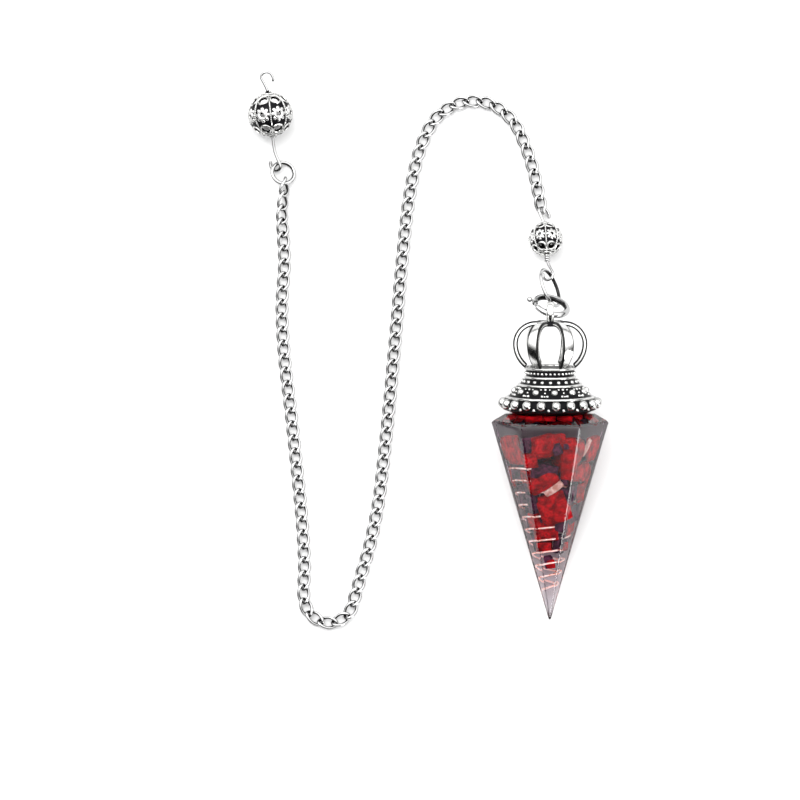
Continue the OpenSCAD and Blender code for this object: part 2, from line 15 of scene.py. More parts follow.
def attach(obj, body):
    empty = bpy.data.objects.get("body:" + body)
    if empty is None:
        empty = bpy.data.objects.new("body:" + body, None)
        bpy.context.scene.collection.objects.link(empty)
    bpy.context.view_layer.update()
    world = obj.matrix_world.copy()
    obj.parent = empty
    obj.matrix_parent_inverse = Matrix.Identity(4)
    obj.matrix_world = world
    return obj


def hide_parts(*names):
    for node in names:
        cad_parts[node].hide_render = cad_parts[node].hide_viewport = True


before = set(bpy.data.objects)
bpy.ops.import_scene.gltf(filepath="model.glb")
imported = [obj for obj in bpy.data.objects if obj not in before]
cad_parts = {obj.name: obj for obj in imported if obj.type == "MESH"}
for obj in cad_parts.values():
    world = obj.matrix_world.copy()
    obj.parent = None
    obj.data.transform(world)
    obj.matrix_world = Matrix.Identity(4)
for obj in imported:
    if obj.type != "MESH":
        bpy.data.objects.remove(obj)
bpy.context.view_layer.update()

# Resin cone. A six-sided cone of clear casting resin, cast in a mould tip down with the chips and
# the coil in it, then polished. It lies on its lower facet, so its axis leans up to the crown.

MM = 0.001
SIDES = 6
CONE_W = 23.2
CONE_L = 38.9
GIRDLE_H = 0.8
BEVEL_H = 1.6
BEVEL_IN = 2.4
TIP_R = 0.15
# The tip lies this far in front of the origin.
REST_REACH = 26
# Every edge is chamfered but the short ones round the tip.
EDGE_R = 0.26
SHORT_EDGE = 1
RESIN_TINT = (0.95, 0.93, 0.95, 1)
RESIN_DEPTH = {"Color": (0.56, 0.46, 0.53, 1), "Density": 120}

half_side = pi / SIDES
side_r = CONE_W / 2 * cos(half_side)
lean = atan((side_r - TIP_R) / CONE_L)
tip_lift = TIP_R * cos(lean)
cone_top = CONE_L + GIRDLE_H + BEVEL_H
lying = Matrix.Translation((0, -REST_REACH, tip_lift)) @ Matrix.Rotation(lean - pi / 2, 4, "X")


class Socket:
    """The output of a shader node, so that shader maths reads as an expression."""

    def __init__(self, nodes, output):
        self.nodes = nodes
        self.output = output

    def maths(self, operation, other):
        return self.nodes.node("ShaderNodeMath", {"operation": operation}, {0: self, 1: other})

    def __add__(self, other):
        return self.maths("ADD", other)

    def __mul__(self, other):
        return self.maths("MULTIPLY", other)

    __radd__ = __add__
    __rmul__ = __mul__


class Nodes:
    """The node tree of a material or of the sky."""

    def __init__(self, owner):
        owner.use_nodes = True
        self.tree = owner.node_tree

    def feed(self, socket, value):
        if isinstance(value, Socket):
            self.tree.links.new(value.output, socket)
        else:
            socket.default_value = value

    def node(self, kind, settings=None, inputs=None, output=0):
        """Adds a node: its settings first, then the values and links of its sockets."""
        node = self.tree.nodes.new(kind)
        for name, value in (settings or {}).items():
            if name == "stops":
                for place, _ in value[2:]:
                    node.color_ramp.elements.new(place)
                for element, (place, colour) in zip(node.color_ramp.elements, value):
                    element.position = place
                    element.color = (*colour, 1)
            else:
                setattr(node, name, value)
        for name, value in (inputs or {}).items():
            self.feed(node.inputs[name], value)
        return Socket(self, node.outputs[output])


class Finish(Nodes):
    """The material of one of the pieces: its shader, and the nodes that vary it."""

    def __init__(self, name, **sockets):
        self.material = bpy.data.materials.new(name)
        super().__init__(self.material)
        self.shade(**sockets)

    def shade(self, **sockets):
        shader = self.tree.nodes["Principled BSDF"]
        for name, value in sockets.items():
            self.feed(shader.inputs[name.replace("_", " ")], value)

    def noise(self, per_mm, detail):
        place = self.node("ShaderNodeTexCoord", output="Object")
        return self.node("ShaderNodeTexNoise", inputs={
            "Vector": place, "Scale": per_mm / MM, "Detail": detail})

    def ramp(self, value, *stops):
        return self.node("ShaderNodeValToRGB", {"stops": stops}, {"Fac": value})

    def blend(self, share, first, second):
        return self.node("ShaderNodeMix", {"data_type": "RGBA"}, {0: share, 6: first, 7: second}, 2)

    def bump(self, height, strength, depth):
        return self.node("ShaderNodeBump", inputs={
            "Height": height, "Strength": strength, "Distance": depth * MM})


def finished(name, bm, finishes, replaced=(), sharp=40):
    """Turns a bmesh in millimetres into a piece of the pendant."""
    bmesh.ops.scale(bm, vec=(MM, MM, MM), verts=bm.verts)
    mesh = bpy.data.meshes.new(name)
    bm.to_mesh(mesh)
    bm.free()
    mesh.shade_smooth()
    mesh.set_sharp_from_angle(angle=radians(sharp))
    for finish in finishes:
        mesh.materials.append(finish.material)
    piece = bpy.data.objects.new(name, mesh)
    bpy.context.scene.collection.objects.link(piece)
    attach(piece, "pendant")
    if replaced:
        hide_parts(*replaced)
    return piece


resin = Finish("clear_resin", Base_Color=RESIN_TINT, IOR=1.45, Transmission_Weight=1)
smudge = resin.noise(0.5, 2)
resin.shade(Roughness=0.03 * smudge, Normal=resin.bump(smudge, 0.1, 0.02))
resin.feed(resin.tree.nodes["Material Output"].inputs["Volume"],
           resin.node("ShaderNodeVolumeAbsorption", inputs=RESIN_DEPTH))

bm = bmesh.new()
bmesh.ops.create_circle(bm, cap_ends=True, segments=SIDES, radius=TIP_R / cos(half_side),
                        matrix=Matrix.Rotation(half_side, 4, "Z"))
cap = bm.faces[:]
level = 0
for height, inradius in ((CONE_L, side_r), (CONE_L + GIRDLE_H, side_r),
                         (cone_top, side_r - BEVEL_IN)):
    grown = bmesh.ops.extrude_face_region(bm, geom=cap)["geom"]
    corners = [v for v in grown if isinstance(v, bmesh.types.BMVert)]
    bmesh.ops.translate(bm, vec=(0, 0, height - level), verts=corners)
    growth = inradius / (hypot(*corners[0].co.xy) * cos(half_side))
    bmesh.ops.scale(bm, vec=(growth, growth, 1), verts=corners)
    if level:
        bmesh.ops.delete(bm, geom=cap, context="FACES_ONLY")
    cap = [f for f in grown if isinstance(f, bmesh.types.BMFace)]
    level = height
bmesh.ops.recalc_face_normals(bm, faces=bm.faces)
bmesh.ops.bevel(bm, geom=[e for e in bm.edges if e.calc_length() > SHORT_EDGE], affect="EDGES",
                offset=EDGE_R, segments=1, profile=0.5, material=-1)
bmesh.ops.transform(bm, matrix=lying, verts=bm.verts)
finished("cone_of_resin", bm, [resin], ["resin_cone"], sharp=12)

# Jasper chips. Tumbled chips of red jasper, some of them dark or pale, poured into the mould and
# held by the resin. The outer ones lie flat under the facets, where their solids are, and the
# others fill the cone behind them.

# Each stone: its material slot, and its dark, middle and light colours.
STONES = {
    "jasper_chips": ("red_jasper", (0.14, 0.001, 0.003), (0.4, 0.002, 0.006),
                     (0.62, 0.007, 0.012)),
    "dark_chips": ("dark_jasper", (0.012, 0.006, 0.014), (0.045, 0.018, 0.04),
                   (0.13, 0.03, 0.07)),
    "pale_chips": ("pale_jasper", (0.5, 0.22, 0.18), (0.72, 0.46, 0.4), (0.85, 0.66, 0.6)),
}
# Each chip: the facet that it lies under, counted round from the top one, its place along and
# across that facet, the depth of its outer face, its size across, along and through, and its turn.
CHIPS = {
    "jasper_chips": [
        (0, 36.0, -1.65, 0.45, 5.2, 4.8, 2.6, 15), (0, 33.6, 3.5, 0.5, 3.0, 8.6, 2.4, 0),
        (0, 37.3, 0.9, 0.9, 4.4, 2.8, 1.8, 10), (0, 33.3, -3.9, 0.5, 2.6, 3.0, 1.8, 10),
        (0, 28.6, -1.3, 0.5, 6.2, 3.2, 2.0, 28), (0, 23.2, 0.7, 0.45, 6.0, 6.2, 2.0, 20),
        (0, 17.9, -0.5, 1.3, 4.2, 3.2, 1.2, 5), (0, 15.0, -1.0, 1.1, 2.4, 1.9, 0.9, 0),
        (0, 11.4, 0.1, 1.0, 1.8, 1.8, 0.7, 10), (-1, 35.2, -0.6, 0.5, 7.2, 6.0, 2.0, 6),
        (-1, 29.4, 1.2, 1.5, 4.0, 3.4, 1.6, -10), (-1, 20.5, 0.4, 1.3, 2.8, 3.2, 1.2, 10),
        (1, 35.4, 2.4, 0.5, 4.4, 5.2, 2.0, 10), (1, 34.6, -3.0, 0.5, 3.4, 5.0, 2.0, 0),
        (1, 30.6, 0.4, 0.6, 4.8, 4.0, 2.0, -6), (1, 26.2, 1.4, 0.5, 3.0, 4.0, 1.6, 8),
        (1, 18.9, 0.4, 0.5, 2.4, 2.8, 1.0, 0), (1, 15.2, 0.1, 0.4, 1.8, 1.8, 0.7, 0),
        (2, 35.3, 0, 0.5, 5.6, 4.6, 2.4, 0), (3, 35.3, 0, 0.5, 6.0, 4.6, 2.4, 6),
        (-2, 35.3, 0, 0.5, 5.6, 4.6, 2.4, -6), (2, 29.5, -0.5, 0.6, 4.2, 4.6, 2.0, 12),
        (3, 29.0, 0.5, 0.6, 4.4, 4.8, 2.0, -8), (-2, 29.5, 0.4, 0.6, 4.2, 4.4, 2.0, 4),
        (3, 22.6, 0, 0.6, 3.6, 4.0, 1.8, 16), (0, 32.9, -2.3, 8.4, 4.4, 4.0, 4.4, 10),
        (0, 34.3, 2.3, 3.4, 4.6, 4.4, 4.6, 20), (0, 26.9, -2.6, 6.3, 3.6, 4.4, 3.4, 10),
        (0, 22.1, -0.7, 5.0, 3.8, 3.8, 3.0, 0), (0, 14.4, -0.5, 3.4, 2.0, 2.4, 1.8, 0),
        (0, 30.6, 2.2, 3.0, 4.0, 4.2, 3.6, -12), (0, 41.1, -3.2, 2.3, 3.2, 1.3, 1.4, 6),
        (0, 41.2, -0.2, 2.3, 2.4, 1.2, 1.4, -5), (0, 41.1, 2.8, 2.3, 3.0, 1.3, 1.4, 4),
        (1, 41.1, -1.8, 2.4, 2.6, 1.2, 1.4, 8), (-1, 41.1, 1.8, 2.4, 2.6, 1.2, 1.4, -8),
        (1, 40.6, 1.7, 1.9, 3.0, 1.5, 1.4, -6), (-1, 40.6, -1.7, 1.9, 3.0, 1.5, 1.4, 6),
    ],
    "dark_chips": [
        (0, 35.8, 1.3, 0.4, 1.9, 2.3, 1.3, 20), (0, 36.4, 3.1, 0.3, 1.1, 1.2, 0.6, 0),
        (0, 36.6, -4.7, 0.6, 1.8, 3.0, 1.4, 0), (0, 30.9, -1.2, 1.0, 5.2, 3.2, 2.2, -10),
        (0, 25.6, 3.4, 0.8, 2.4, 3.6, 1.6, 0), (0, 24.0, -3.2, 1.0, 2.0, 4.0, 1.6, 8),
        (1, 26.4, -1.5, 0.6, 2.2, 3.4, 1.4, 0), (1, 21.8, 0.6, 0.5, 3.6, 3.6, 1.4, 15),
        (0, 20.0, 2.0, 1.0, 2.0, 3.4, 1.4, -6), (-1, 26.6, 1.0, 1.0, 3.0, 3.4, 1.6, 20),
        (0, 34.3, -2.3, 3.4, 4.6, 4.4, 4.6, 0), (0, 32.9, 2.3, 8.4, 4.4, 4.0, 4.4, -15),
        (0, 26.9, 0.8, 6.3, 3.4, 4.4, 3.4, -8), (0, 18.2, -0.6, 4.1, 3.0, 3.2, 2.6, 20),
        (0, 29.6, -2.6, 3.2, 4.0, 4.0, 3.4, 8), (0, 25.0, 0.4, 3.2, 4.4, 4.0, 3.0, -14),
        (-1, 25.4, -1.6, 1.6, 3.0, 4.6, 1.8, 6), (-1, 20.6, 0.2, 1.5, 3.6, 4.4, 1.6, -8),
        (-1, 16.0, 0.1, 1.3, 2.6, 3.8, 1.2, 5), (1, 15.6, -0.2, 1.3, 2.4, 4.0, 1.2, -6),
        (0, 11.8, -0.2, 1.2, 1.8, 2.8, 1.0, 8), (-1, 30.4, -1.6, 1.4, 3.4, 4.0, 1.8, -10),
        (1, 22.4, -1.4, 1.5, 2.6, 4.4, 1.6, 8), (1, 30.2, -3.2, 1.4, 2.4, 4.6, 1.8, 6),
    ],
    "pale_chips": [
        (0, 27.4, 0.7, 0.35, 4.2, 1.5, 1.1, 38), (1, 35.8, -0.4, 0.5, 1.3, 3.8, 1.2, -24),
    ],
}
CUTS = 9
# How far each cut is from the middle of a chip, where its faces are at 1.
CUT_REACH = (0.98, 1.2)
CUT_SLACK = 0.0001
SHORT_CHIP_EDGE = 0.05
CHIP_ROUND = 0.09

chance = Random(7)


def stone(name, dark, middle, light):
    """Tumbled stone: mottled up to light patches that break off sharply, with fine dark specks.

    Wet by the resin, it hardly shines.
    """
    finish = Finish(name, IOR=1.1)
    mottle = finish.noise(0.8, 5)
    speck = finish.noise(2.4, 3)
    body = finish.ramp(mottle, (0.38, dark), (0.66, light), (0.66, middle))
    pits = finish.ramp(speck, (0.36, (0, 0, 0)), (0.52, (1, 1, 1)))
    finish.shade(
        Base_Color=finish.blend(0.25 + 0.75 * pits, (*dark, 1), body),
        Roughness=0.45 + 0.25 * speck,
        Normal=finish.bump(mottle + 0.3 * speck, 0.5, 0.12),
    )
    return finish


def stamp(bm, own, *places):
    """Adds a small bmesh to a large one, once at each of the places."""
    mesh = bpy.data.meshes.new("stamp")
    own.to_mesh(mesh)
    own.free()
    for place in places:
        copy = mesh.copy()
        copy.transform(place)
        bm.from_mesh(copy)
        bpy.data.meshes.remove(copy)
    bpy.data.meshes.remove(mesh)


def shard(bm, side, along, across, depth, width, length, thick, turn):
    """A tumbled chip: a block cut by planes of its own, then rounded at its edges."""
    own = bmesh.new()
    bmesh.ops.create_cube(own, size=2)
    for _ in range(CUTS):
        way = Vector([chance.uniform(-1, 1) for _ in "xyz"]).normalized()
        cut = bmesh.ops.bisect_plane(
            own, geom=own.verts[:] + own.edges[:] + own.faces[:], dist=CUT_SLACK,
            plane_co=chance.uniform(*CUT_REACH) * way, plane_no=way, clear_outer=True)["geom_cut"]
        bmesh.ops.holes_fill(own, edges=[e for e in cut if isinstance(e, bmesh.types.BMEdge)])
    bmesh.ops.scale(own, vec=(width / 2, length / 2, thick / 2), verts=own.verts)
    bmesh.ops.dissolve_degenerate(own, dist=SHORT_CHIP_EDGE, edges=own.edges[:])
    bmesh.ops.recalc_face_normals(own, faces=own.faces)
    bmesh.ops.bevel(own, geom=own.edges[:], affect="EDGES", segments=2, profile=0.5, material=-1,
                    offset=CHIP_ROUND * min(width, length, thick))
    bmesh.ops.triangulate(own, faces=[f for f in own.faces if len(f.verts) > 4])
    under = (Matrix.Rotation(2 * half_side * side, 4, "Z") @ Matrix.Rotation(pi / 2 + lean, 4, "X")
             @ Matrix.Translation((across, along, -depth - thick / 2))
             @ Matrix.Rotation(radians(turn), 4, "Z"))
    stamp(bm, own, lying @ under)


for node, (slot, *colours) in STONES.items():
    bm = bmesh.new()
    for chip in CHIPS[node]:
        shard(bm, *chip)
    finished("tumbled_" + node, bm, [stone(slot, *colours)], [node], sharp=28)

# Copper coil. One length of bright copper wire, wound to a cone and sunk into the resin above the
# tip. The chips lie round its upper turns.

COIL_GROW = -0.03
# How much wider than its solid the coil is, and how far it is off the cone's axis at each height,
# as shares of the cone's radius there.
COIL_SPREAD = 1.2
COIL_SHIFT = (0.05, -0.11)
COPPER_DARK = (0.9, 0.45, 0.34)
COPPER_LIGHT = (1.0, 0.84, 0.8)
# The colours of the copper's painted glow, dim and bright.
COPPER_PAINTED_GLOW_DIM = (0.5, 0.2, 0.15)
COPPER_PAINTED_GLINT = (1.0, 0.75, 0.72)
DOUBLES = 0.001
# Subdividing thins a wire, so its vertices are first moved apart, by smoothing them backwards.
RELAX = -0.3
LEVELS = 2


def merged(node):
    """A copy of a solid as a closed bmesh in millimetres."""
    bm = bmesh.new()
    bm.from_mesh(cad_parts[node].data)
    bmesh.ops.scale(bm, vec=(1 / MM, 1 / MM, 1 / MM), verts=bm.verts)
    bmesh.ops.remove_doubles(bm, verts=bm.verts, dist=DOUBLES)
    return bm


def rounded(node, grow):
    """A copy of a bent wire's solid in quads, grown outwards and ready to subdivide."""
    bm = merged(node)
    bmesh.ops.join_triangles(bm, faces=bm.faces[:], angle_face_threshold=0.7,
                             angle_shape_threshold=0.9)
    bmesh.ops.smooth_vert(bm, verts=bm.verts, factor=RELAX, use_axis_x=True, use_axis_y=True,
                          use_axis_z=True)
    bm.normal_update()
    for vert, normal in [(v, v.normal.copy()) for v in bm.verts]:
        vert.co += grow * normal
    return bm


def subdivided(piece):
    rounding = piece.modifiers.new("rounding", "SUBSURF")
    rounding.levels = rounding.render_levels = LEVELS


# The copper gives off a little light: a painted glow that stands in for its glints and for what the
# resin takes away.
copper = Finish("bright_copper", Metallic=1)
shimmer = copper.noise(0.9, 3)
copper.shade(
    Base_Color=copper.ramp(shimmer, (0.3, COPPER_DARK), (0.6, COPPER_LIGHT)),
    Roughness=0.2 + 0.2 * shimmer,
    Emission_Color=copper.ramp(shimmer, (0.4, COPPER_PAINTED_GLOW_DIM), (0.62, COPPER_PAINTED_GLINT)),
    Emission_Strength=0.45,
)
bm = rounded("copper_coil", COIL_GROW)
spread = Matrix.Diagonal((COIL_SPREAD, COIL_SPREAD, 1, 1))
spread[0][2], spread[1][2] = [share * tan(lean) for share in COIL_SHIFT]
bmesh.ops.transform(bm, matrix=lying @ spread @ lying.inverted(), verts=bm.verts)
subdivided(finished("coil_of_copper", bm, [copper], ["copper_coil"], sharp=180))

# Crown cap. One casting of a white base metal, plated with silver, blackened and buffed, so that
# its beads and ribs shine on a black ground. It is glued to the flat top of the resin.

RIM_R = 9.5
TIER_H = 9
NECK_R = 4.75
RIB_R = 0.3
BIG_BEAD_R = 0.6
# The points of the wall, and the ribs: each one's height as a share of TIER_H, and how far it
# reaches from the neck, 0, to the rim, 1.
WALL = [(0, 0.52), (0.09, 0.95), (0.2, 0.97), (0.355, 0.76), (0.63, 0.28), (0.8, 0), (1, 0)]
RIBS = [(0.355, 0.8), (0.63, 0.3), (0.8, 0.03), (1, 0.04)]
# Each row of beads: the same two shares, how many there are, their radius, and how far the row is
# turned, as a share of one step.
BEAD_ROWS = [
    (0.235, 1, 20, 0.95, 0.36), (0.14, 1, 20, 0.36, 0.86), (0.5, 0.51, 12, 0.7, 0.21),
    (0.43, 0.63, 12, 0.34, 0.58), (0.43, 0.63, 12, 0.34, 0.84), (0.57, 0.4, 12, 0.32, 0.71),
    (0.71, 0.15, 21, 0.42, 0), (0.9, 0.02, 36, 0.3, 0), (0.57, 0.42, 12, 0.22, 0.46),
    (0.57, 0.42, 12, 0.22, 0.96), (0.5, 0.52, 12, 0.24, 0.71), (0.43, 0.65, 12, 0.24, 0.71),
]
BLACKENING = (0.03, 0.03, 0.035, 1)

cage_base = cone_top + TIER_H


def silver(name, colour, roughness, black=0):
    """Silver plate, buffed. Black is how dark the patches are that the buffing has missed."""
    finish = Finish(name, Base_Color=(*colour, 1), Metallic=1)
    worn = finish.noise(0.8, 4)
    fine = finish.noise(7, 2)
    if black:
        missed = finish.ramp(worn, (0.495, (1, 1, 1)), (0.6, (0, 0, 0)))
        finish.shade(Base_Color=finish.blend(black * missed, (*colour, 1), BLACKENING))
    finish.shade(
        Roughness=roughness + 0.12 * worn,
        Normal=finish.bump(worn + 0.4 * fine, 0.35, 0.05),
    )
    return finish


plated = silver("buffed_silver", (0.55, 0.55, 0.54), 0.1, black=0.25)
# Black patina for the crown's and beads' ground, also used as painted shade on the pins inside the
# beads.
patina_and_painted_shade = silver("blackened_silver_and_painted_shade", (0.008, 0.008, 0.009), 0.45)


def tier(height, reach):
    """A point over the x axis, from its shares of the tiers' height and of their reach."""
    return Vector((NECK_R + reach * (RIM_R - NECK_R), 0, cone_top + height * TIER_H))


def around(count, phase=0, start=0):
    """The turns about the z axis that set out copies at even steps, from a start in degrees."""
    return [Matrix.Rotation(radians((k + phase) * 360 / count + start), 4, "Z")
            for k in range(count)]


def hoop(centre, wire_r, sides=16, steps=96):
    """A ring of round wire about the z axis, through centre."""
    own = bmesh.new()
    bmesh.ops.create_circle(own, segments=sides, radius=wire_r,
                            matrix=Matrix.Translation(centre) @ Matrix.Rotation(pi / 2, 4, "X"))
    bmesh.ops.spin(own, geom=own.verts[:] + own.edges[:], cent=(0, 0, 0), axis=(0, 0, 1),
                   angle=2 * pi, steps=steps, use_merge=True)
    bmesh.ops.recalc_face_normals(own, faces=own.faces)
    return own


def grain(radius, rounds=2):
    own = bmesh.new()
    bmesh.ops.create_icosphere(own, subdivisions=rounds, radius=radius)
    return own


bm = bmesh.new()
line = [bm.verts.new(tier(*point)) for point in WALL] + [bm.verts.new((0, 0, cage_base))]
edges = [bm.edges.new(pair) for pair in zip(line, line[1:])]
bmesh.ops.spin(bm, geom=line + edges, cent=(0, 0, 0), axis=(0, 0, 1), angle=2 * pi, steps=96,
               use_merge=True)
bmesh.ops.remove_doubles(bm, verts=bm.verts, dist=DOUBLES)
for face in bm.faces:
    face.material_index = 1
bmesh.ops.recalc_face_normals(bm, faces=bm.faces)
for rib in RIBS:
    stamp(bm, hoop(tier(*rib), RIB_R), Matrix())
for height, reach, count, bead_r, phase in BEAD_ROWS:
    stamp(bm, grain(bead_r, 4 if bead_r > BIG_BEAD_R else 2), *[
        turn @ Matrix.Translation(tier(height, reach)) for turn in around(count, phase, -90)])
bmesh.ops.transform(bm, matrix=lying, verts=bm.verts)
finished("crown_tiers", bm, [plated, patina_and_painted_shade], ["crown_cap"])

# Crown arches. Six bands that rise from the neck, bend in and meet in a small round plate. They
# are cast with the crown, plated and polished; their rounded edges are painted near black, as
# painted shade.

ARCHES = 6
CAGE_R = 7.4
CAGE_H = 9.4
# How high the arches stand widest, as a share of CAGE_H.
CAGE_MID = 0.52
ARCH_T = 1
ARCH_W = 2.5
ARCH_FOOT_W = 1.5
# Under the plate, the arches end this far from the axis.
ARCH_END = 0.4
ARCH_STEPS = 16
ARCH_ROUND = 0.34
PLATE_TAPER = 0.3

cage_low = CAGE_MID * CAGE_H
cage_middle = cage_base + cage_low
shoulder_r = CAGE_H - cage_low
foot_reach = NECK_R + RIB_R
belly_x = (CAGE_R ** 2 - foot_reach ** 2 - cage_low ** 2) / (2 * (CAGE_R - foot_reach))

polished = silver("polished_silver", (0.6, 0.6, 0.59), 0.12)
# Near black: painted shade for the arches' rounded edges.
shaded = silver("shaded_silver", (0.02, 0.02, 0.02), 0.3)


def arch():
    """One arch over the x axis, swept from its widest place down to the foot and up to the top."""
    own = bmesh.new()
    widest = Matrix.Translation((CAGE_R - ARCH_T / 2, 0, cage_middle))
    section = bmesh.ops.create_grid(own, x_segments=1, y_segments=1, size=0.5,
                                    matrix=widest @ Matrix.Diagonal((ARCH_T, ARCH_W, 1, 1)))
    bmesh.ops.delete(own, geom=own.faces[:], context="FACES_ONLY")
    loop = section["verts"] + own.edges[:]
    bmesh.ops.spin(own, geom=loop, cent=(belly_x, 0, cage_middle), axis=(0, 1, 0),
                   angle=asin(cage_low / (CAGE_R - belly_x)), steps=ARCH_STEPS)
    upper = bmesh.ops.spin(own, geom=loop, cent=(CAGE_R - shoulder_r, 0, cage_middle),
                           axis=(0, 1, 0), angle=-pi / 2, steps=ARCH_STEPS)["geom_last"]
    last = bmesh.ops.extrude_edge_only(
        own, edges=[e for e in upper if isinstance(e, bmesh.types.BMEdge)])["geom"]
    bmesh.ops.translate(own, vec=(shoulder_r - CAGE_R + ARCH_END, 0, 0),
                        verts=[v for v in last if isinstance(v, bmesh.types.BMVert)])
    bmesh.ops.holes_fill(own, edges=own.edges)
    for vert in own.verts:
        share = (vert.co.z - cage_middle) / cage_low
        vert.co.y *= 1 - (1 - ARCH_FOOT_W / ARCH_W) * min(1, share ** 2)
    bmesh.ops.recalc_face_normals(own, faces=own.faces)
    corners = [e for e in own.edges if e.is_manifold and e.calc_face_angle() > radians(60)]
    rounding = bmesh.ops.bevel(own, geom=corners, affect="EDGES", offset=ARCH_ROUND, segments=4,
                               profile=0.5, material=-1)
    # The rounded edges take the painted shade.
    for face in rounding["faces"]:
        face.material_index = 2
    return own


bm = bmesh.new()
bmesh.ops.create_cone(bm, cap_ends=True, segments=64, radius1=ARCH_W, radius2=ARCH_W - PLATE_TAPER,
                      depth=ARCH_T,
                      matrix=Matrix.Translation((0, 0, cage_base + CAGE_H - ARCH_T / 2)))
for face in bm.faces:
    face.material_index = 1
stamp(bm, arch(), *around(ARCHES, 0.5, -90))
bmesh.ops.transform(bm, matrix=lying, verts=bm.verts)
finished("crown_arches", bm, [polished, patina_and_painted_shade, shaded])

# Bail. A short loop cast on top of the crown, with its hole across the cone. The clasp hangs in it.

BAIL_D = 4.2
BAIL_HOLE = 2.5
BAIL_T = 1.5
BAIL_SINK = 0.4

bail_wire = (BAIL_D - BAIL_HOLE) / 2
bm = hoop(Vector(((BAIL_D + BAIL_HOLE) / 4, 0, 0)), bail_wire / 2, sides=20, steps=64)
bmesh.ops.scale(bm, vec=(1, 1, BAIL_T / bail_wire), verts=bm.verts)
bmesh.ops.rotate(bm, matrix=Matrix.Rotation(pi / 2, 3, "Y"), verts=bm.verts)
bmesh.ops.translate(bm, vec=(0, 0, cage_base + CAGE_H + BAIL_D / 2 - BAIL_SINK), verts=bm.verts)
bmesh.ops.recalc_face_normals(bm, faces=bm.faces)
bmesh.ops.transform(bm, matrix=lying, verts=bm.verts)
finished("crown_bail", bm, [polished])

# Clasp and jump rings. Bent from plated tube and wire and polished; their insides are painted
# black, as painted shade.
# Their solids have the right shape, so the rings are copies of them, and the clasp's gate with its
# knob is the solid itself.

# The rings' wire colour, and the painted shade on their insides.
RING_LIGHT = (0.38, 0.38, 0.38)
RING_PAINTED_SHADE = (0.02, 0.02, 0.02)


def loose_parts(bm):
    """The vertices of each loose part in turn."""
    seen = set()
    for start in bm.verts:
        if start in seen:
            continue
        seen.add(start)
        reached = [start]
        for vert in reached:
            near = [v for v in (e.other_vert(vert) for e in vert.link_edges) if v not in seen]
            seen.update(near)
            reached.extend(near)
        yield reached


def mark_inward(bm):
    """Marks how far each vertex faces the middle of its own ring or link."""
    share = bm.verts.layers.float.new("inward")
    bm.normal_update()
    for part in loose_parts(bm):
        middle = sum((vert.co for vert in part), Vector()) / len(part)
        for vert in part:
            vert[share] = vert.normal.dot((middle - vert.co).normalized())


def painted_shade_inside(name, dark_from, dark_at):
    """Polished wire, with painted shade: black where it faces the middle of its ring."""
    finish = Finish(name, Metallic=1)
    inward = finish.node("ShaderNodeAttribute", {"attribute_name": "inward"}, output="Fac")
    scuff = finish.noise(1.2, 3)
    finish.shade(
        Base_Color=finish.ramp(0.5 * inward + 0.5 + 0.1 * scuff,
                               (dark_from, RING_LIGHT), (dark_at, RING_PAINTED_SHADE)),
        Roughness=0.06 + 0.12 * scuff,
    )
    return finish


ringed = painted_shade_inside("rings_painted_shade", 0.62, 0.8)
for node in ("clasp_ring", "clasp_link", "finial_ring"):
    bm = merged(node)
    mark_inward(bm)
    finished("polished_" + node, bm, [ringed], [node])

rhodium = silver("polished_rhodium", (0.36, 0.36, 0.36), 0.06)
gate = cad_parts["clasp_trigger"].data.materials
gate.clear()
gate.append(rhodium.material)

# Eye pins. Each is one length of plated wire through a bead, bent to an eye at both ends. Inside
# the bead it is painted black, as painted shade. The small bead's pin is wrapped below the bead.

PIN_GROW = 0.02
FINIAL_D = 8.8
SPACER_D = 6.7
FINIAL_AT = Vector((-55.8, 75.5, FINIAL_D / 2))
SPACER_AT = Vector((-0.66, 50.3, SPACER_D / 2))
SPACER_YAW = 93.5
# Each pin: the middle of its bead, and how far from there the wire is painted black, as painted
# shade.
PINS = [("finial_pin", FINIAL_AT, 4.1), ("spacer_pin", SPACER_AT, 3.1)]
WRAPS = 3
WRAP_R = 0.32
WRAP_WIRE_R = 0.29
WRAP_PITCH = 0.54
WRAP_TILT = 111
# From the middle of the small bead to the first turn of the wrap.
WRAP_FROM = 3.9

for node, middle, hidden in PINS:
    bm = rounded(node, PIN_GROW)
    for face in bm.faces:
        # Faces inside the bead take the black finish, as painted shade.
        face.material_index = (face.calc_center_median() - middle).length < hidden
    if node == "spacer_pin":
        along = (Matrix.Translation(middle) @ Matrix.Rotation(radians(SPACER_YAW), 4, "Z")
                 @ Matrix.Rotation(radians(WRAP_TILT), 4, "Y"))
        stamp(bm, hoop(Vector((WRAP_R, 0, 0)), WRAP_WIRE_R, sides=8, steps=24), *[
            along @ Matrix.Translation((0, 0, -WRAP_FROM - WRAP_PITCH * k)) for k in range(WRAPS)])
    subdivided(finished("bent_" + node, bm, [rhodium, patina_and_painted_shade], [node],
                        sharp=180))

# Pierced beads. Two hollow beads, cast in open work with flowers and rows of grains, blackened and
# buffed. The wire of an eye pin holds each of them.

SHELL_SINK = 0.1
SHELL_T = 0.5
BORE_R = 0.43
HOLES = 8
# The rows of big holes lie this many degrees above and below the row of small ones.
HOLE_ROW = 43
HOOP_R = 0.2
HOOP_OUT = 0.05
HOOP_SINK = 0.08
PETALS = 8
PETAL_TILT = 0.27
PETAL_SINK = 0.17
PETAL_FORM = (1, 0.85, 0.6, 1)
# A flower's ring and its petals, as shares of the bead's radius.
FLOWER_OUT = 0.06
FLOWER_H = 0.95
FLOWER_R = 0.07
PETAL_R = 0.115
SEAM_R = 0.15
SEAM_SINK = 0.06
GRAIN_R = 0.17
GRAIN_PITCH = 2.2
GRAINS = range(-4, 5)
